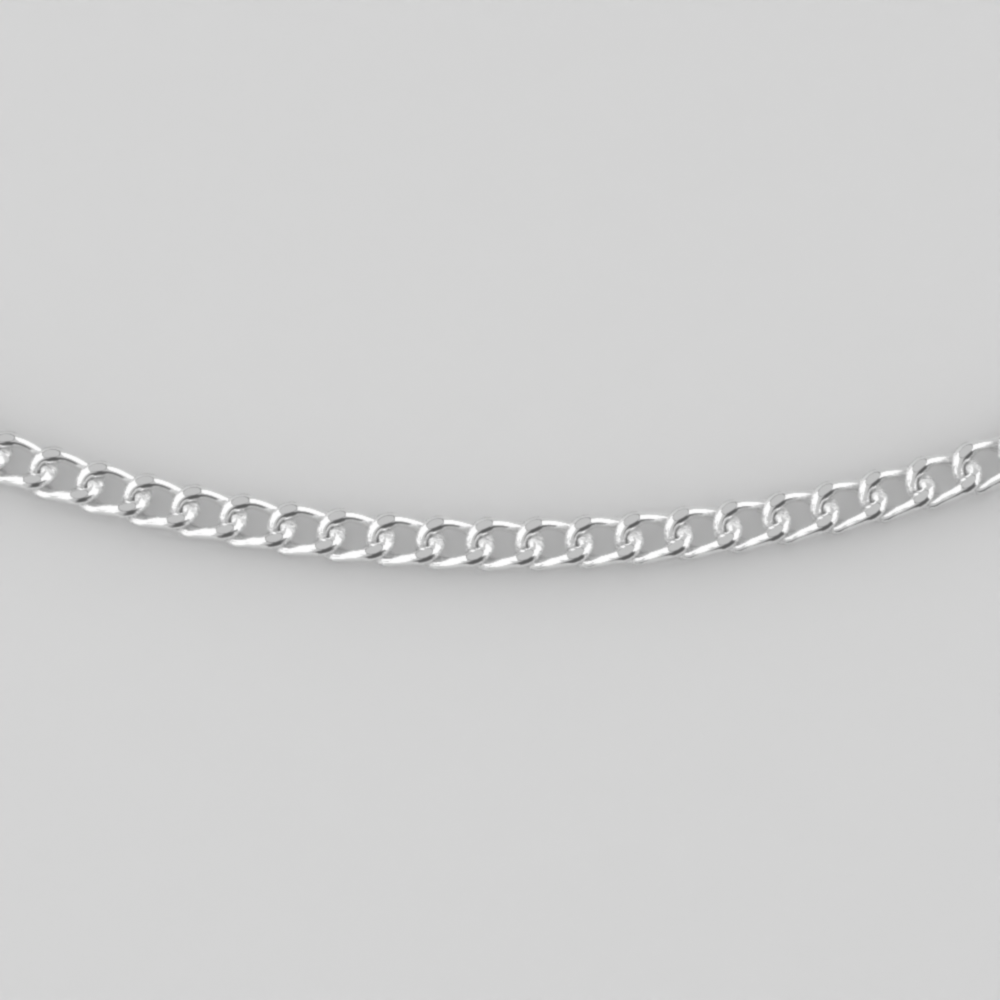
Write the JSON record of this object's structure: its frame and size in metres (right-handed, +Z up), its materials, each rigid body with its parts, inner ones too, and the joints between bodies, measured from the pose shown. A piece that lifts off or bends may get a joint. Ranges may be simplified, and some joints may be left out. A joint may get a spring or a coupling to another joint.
{
  "type": "curb chain necklace",
  "caption": "Fine curb chain of ground flat oval links in one closed loop, lying flat, fastened at the back by a round clasp on two small rings.",
  "frame": {"origin": "on the surface that the necklace lies on, under the middle of its box", "axes": "+Z up, +Y from the front of the loop to its fastening, +X to the right seen from the front"},
  "size_m": [0.142, 0.1492, 0.0038],
  "materials": {
    "chain_silver": "sterling silver, links ground flat and polished, solder seams left matt",
    "fastening_silver": "sterling silver wire, tumble polished"
  },
  "bodies": {
    "root": {"chain": "chain_silver", "end_link_left": "chain_silver", "end_link_right": "chain_silver", "clasp": "fastening_silver", "clasp_ring": "fastening_silver", "end_ring": "fastening_silver"}
  },
  "joints": []
}
